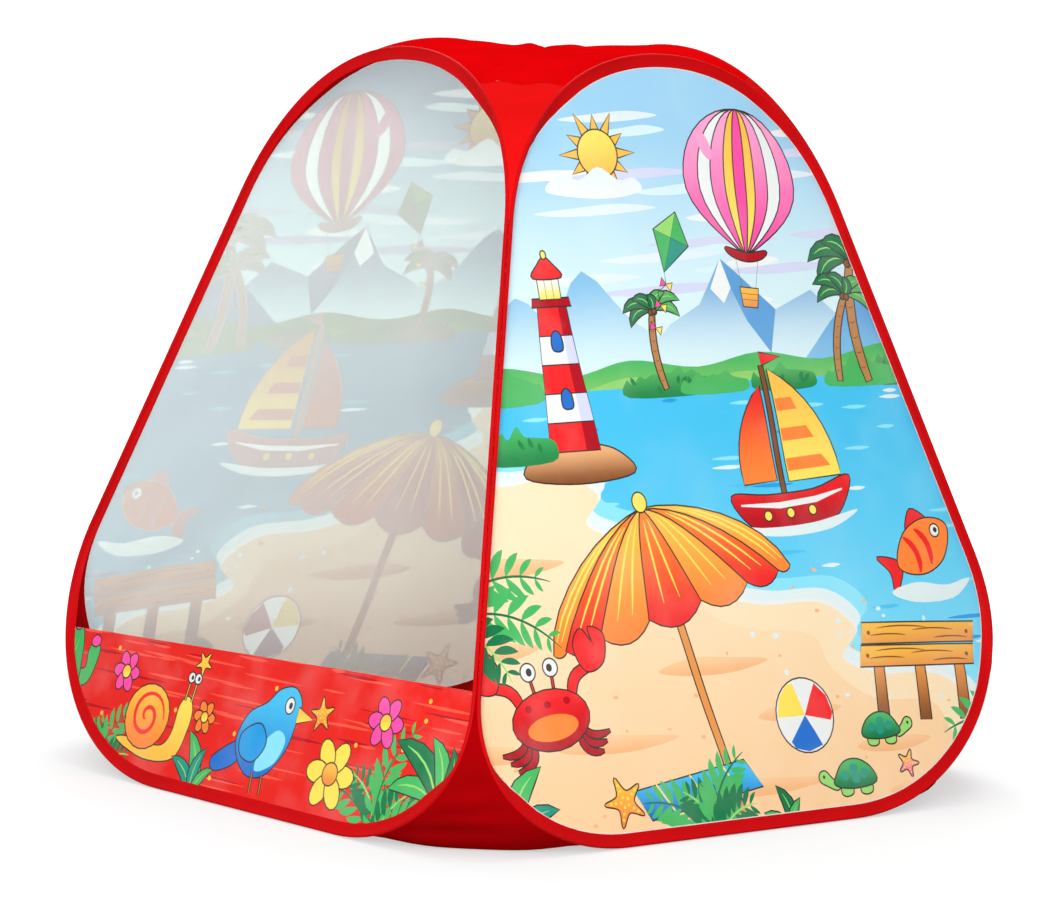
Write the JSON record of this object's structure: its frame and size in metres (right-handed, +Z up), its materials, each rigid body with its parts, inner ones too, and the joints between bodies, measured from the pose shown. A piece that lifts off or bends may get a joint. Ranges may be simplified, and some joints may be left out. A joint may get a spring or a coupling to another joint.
{
  "type": "kids play tent",
  "caption": "Pop-up play tent with leaning printed walls on spring-steel hoops, a red roof crown and corner gussets, a floor sheet, and an open doorway above a skirt.",
  "frame": {"origin": "middle of the ground under the tent", "axes": "+Z up, -Y out of the doorway, +X out of the printed wall at the doorway's right"},
  "size_m": [0.9428, 0.9428, 0.8858],
  "materials": {
    "red_binding": "matte polyester bias tape",
    "spring_steel": "bright drawn spring wire",
    "crimp_steel": "zinc-plated crimp tube",
    "printed_wall": "printed polyester, slight sheen",
    "printed_skirt": "printed red polyester",
    "red_roof": "plain red polyester, slight sheen",
    "red_floor": "coated red polyester"
  },
  "bodies": {
    "right_panel": {"right_binding": "red_binding", "right_hoop_wire": "spring_steel", "right_hoop_ferrule": "crimp_steel", "right_wall_cloth": "printed_wall", "roof_crown": "red_roof", "floor_sheet": "red_floor", "front_right_roof_gusset": "red_roof", "front_right_base_gusset": "red_roof", "right_back_roof_gusset": "red_roof", "right_back_base_gusset": "red_roof"},
    "front_panel": {"front_binding": "red_binding", "front_hoop_wire": "spring_steel", "front_hoop_ferrule": "crimp_steel", "door_skirt": "printed_skirt", "left_front_roof_gusset": "red_roof", "left_front_base_gusset": "red_roof"},
    "back_panel": {"back_binding": "red_binding", "back_hoop_wire": "spring_steel", "back_hoop_ferrule": "crimp_steel", "back_wall_cloth": "printed_wall", "back_left_roof_gusset": "red_roof", "back_left_base_gusset": "red_roof"},
    "left_panel": {"left_binding": "red_binding", "left_hoop_wire": "spring_steel", "left_hoop_ferrule": "crimp_steel", "left_wall_cloth": "printed_wall"}
  },
  "joints": [
    {"name": "back_seam_fold", "type": "hinge", "parent": "right_panel", "child": "back_panel", "pos_m": [0.46123, 0.46123, 0], "axis": [-0.2794, -0.2794, 0.9186], "range_deg": [0, 82], "stiffness_Nm_per_rad": 1.6, "springref_deg": -34.38, "deforming": ["roof_crown", "floor_sheet", "right_back_roof_gusset", "right_back_base_gusset", "back_left_roof_gusset", "back_left_base_gusset"]},
    {"name": "front_seam_fold", "type": "hinge", "parent": "right_panel", "child": "front_panel", "pos_m": [0.47009, -0.47009, 0], "axis": [-0.2794, 0.2794, 0.9186], "range_deg": [0, 81], "stiffness_Nm_per_rad": 1.6, "springref_deg": -34.38, "deforming": ["front_right_roof_gusset", "front_right_base_gusset"]},
    {"name": "left_seam_fold", "type": "hinge", "parent": "front_panel", "child": "left_panel", "pos_m": [-0.46123, -0.46123, 0], "axis": [0.2794, 0.2794, 0.9186], "range_deg": [-83, 0], "stiffness_Nm_per_rad": 1.6, "springref_deg": 34.38, "deforming": ["left_front_roof_gusset", "left_front_base_gusset"]}
  ],
  "couplings": [
    {"joint": "front_seam_fold", "follows": "back_seam_fold", "ratio": 0.98},
    {"joint": "left_seam_fold", "follows": "back_seam_fold", "ratio": -1}
  ]
}
